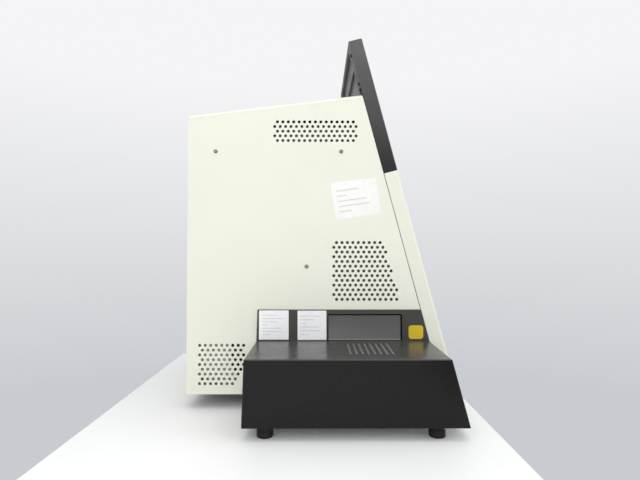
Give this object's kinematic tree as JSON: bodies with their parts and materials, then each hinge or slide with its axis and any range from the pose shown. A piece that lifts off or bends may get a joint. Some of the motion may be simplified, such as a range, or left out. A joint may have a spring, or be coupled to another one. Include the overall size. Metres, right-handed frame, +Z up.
{
  "type": "automated electrophoresis system",
  "caption": "Bench-top chip electrophoresis instrument: sloped cabinet, raised black front panel with chip door, and a plate loader shelf with a flap on the left side.",
  "frame": {"origin": "centre of the footprint of the bounding box, on the table", "axes": "+Z up, the front faces -Y, the plate loader stands on -X"},
  "size_m": [0.4466, 0.508, 0.6901],
  "materials": {
    "cream_paint": "satin powder coat, warm white",
    "cream_plastic": "fine-textured moulding, warm white",
    "black_plastic": "fine-textured moulding, near black",
    "grey_plastic": "fine-textured moulding, dark grey",
    "zinc_steel": "zinc plated sheet",
    "steel": "plain",
    "dark_steel": "black oxide",
    "aluminium": "machined",
    "anodised": "black anodised",
    "rubber": "matte",
    "glass": "clear",
    "board": "solder resist",
    "brass": "contact plating",
    "window": "smoked",
    "platinum": "bright wire"
  },
  "bodies": {
    "instrument": {"left_side_panel": "cream_paint", "right_side_panel": "cream_paint", "top_cover": "cream_paint", "rear_panel": "cream_paint", "base_pan": "zinc_steel", "front_frame": "zinc_steel", "left_bulkhead": "zinc_steel", "right_bulkhead": "zinc_steel", "mid_deck": "zinc_steel", "front_fascia": "cream_plastic", "front_bezel": "black_plastic", "bezel_back_cover": "grey_plastic", "bezel_screws": "dark_steel", "door_pins": "steel", "button_housing": "black_plastic", "status_lights": "window", "bay_liner": "grey_plastic", "thermal_block": "aluminium", "chip_tray": "anodised", "lid_bracket": "aluminium", "lid_pin": "steel", "optics_block": "anodised", "objective_barrel": "aluminium", "objective_lens": "glass", "side_housing": "black_plastic", "side_base_plate": "zinc_steel", "vent_screen": "zinc_steel", "unit_feet": "rubber", "body_feet": "rubber", "flap_pin": "steel", "rail_base": "zinc_steel", "slide_rails": "steel", "idler_pin": "steel", "drive_belt": "rubber", "drive_motor": "dark_steel", "fan_frame": "black_plastic", "fan_guard": "steel", "fan_screws": "dark_steel", "power_inlet": "black_plastic", "inlet_pins": "brass", "data_ports": "steel", "port_board": "board", "power_supply": "zinc_steel", "circuit_board": "board", "board_components": "black_plastic", "side_screws": "steel", "rear_screws": "steel"},
    "nest": {"nest_carriage": "aluminium", "plate_nest": "anodised", "carriage_screws": "dark_steel"},
    "flap": {"plate_flap": "grey_plastic"},
    "drive_pulley_body": {"drive_pulley": "aluminium"},
    "idler_pulley_body": {"idler_pulley": "aluminium"},
    "door": {"chip_door": "black_plastic"},
    "lid": {"cartridge_lid": "grey_plastic", "electrode_pins": "platinum"},
    "button": {"door_button": "grey_plastic"},
    "rocker": {"power_rocker": "black_plastic"},
    "fan": {"fan_rotor": "black_plastic"}
  },
  "joints": [
    {"name": "nest_slide", "type": "slide", "parent": "instrument", "child": "nest", "axis": [-1, 0, 0], "range_m": [0, 0.2114]},
    {"name": "flap_hinge", "type": "hinge", "parent": "instrument", "child": "flap", "pos_m": [-0.0754, -0.08094, 0.1689], "axis": [0, 1, 0], "range_deg": [0, 90]},
    {"name": "drive_pulley_spin", "type": "hinge", "parent": "instrument", "child": "drive_pulley_body", "pos_m": [0.1771, -0.08094, 0.09155], "axis": [0, -1, 0], "range_deg": [0, 955]},
    {"name": "idler_pulley_spin", "type": "hinge", "parent": "instrument", "child": "idler_pulley_body", "pos_m": [-0.0339, -0.08094, 0.09155], "axis": [0, -1, 0], "range_deg": [0, 955]},
    {"name": "chip_door_hinge", "type": "hinge", "parent": "instrument", "child": "door", "pos_m": [0.0726, -0.0997, 0.57512], "axis": [-1, 0, 0], "range_deg": [0, 92]},
    {"name": "cartridge_lid_hinge", "type": "hinge", "parent": "instrument", "child": "lid", "pos_m": [0.0726, 0.02499, 0.476], "axis": [-1, 0, 0], "range_deg": [0, 72]},
    {"name": "door_button_press", "type": "slide", "parent": "instrument", "child": "button", "axis": [0, 0.9664, -0.2571], "range_m": [0, 0.0025], "stiffness_N_per_m": 300, "springref_m": -0.002},
    {"name": "power_rocker_tilt", "type": "hinge", "parent": "instrument", "child": "rocker", "pos_m": [0.165, 0.24601, 0.1035], "axis": [-1, 0, 0], "range_deg": [0, 16]},
    {"name": "fan_spin", "type": "hinge", "parent": "instrument", "child": "fan", "pos_m": [0.01, 0.24801, 0.4], "axis": [0, 1, 0], "continuous": true}
  ],
  "couplings": [
    {"joint": "flap_hinge", "follows": "nest_slide", "rad_per_m": 7.422},
    {"joint": "drive_pulley_spin", "follows": "nest_slide", "rad_per_m": 78.74},
    {"joint": "idler_pulley_spin", "follows": "nest_slide", "rad_per_m": 78.74}
  ]
}
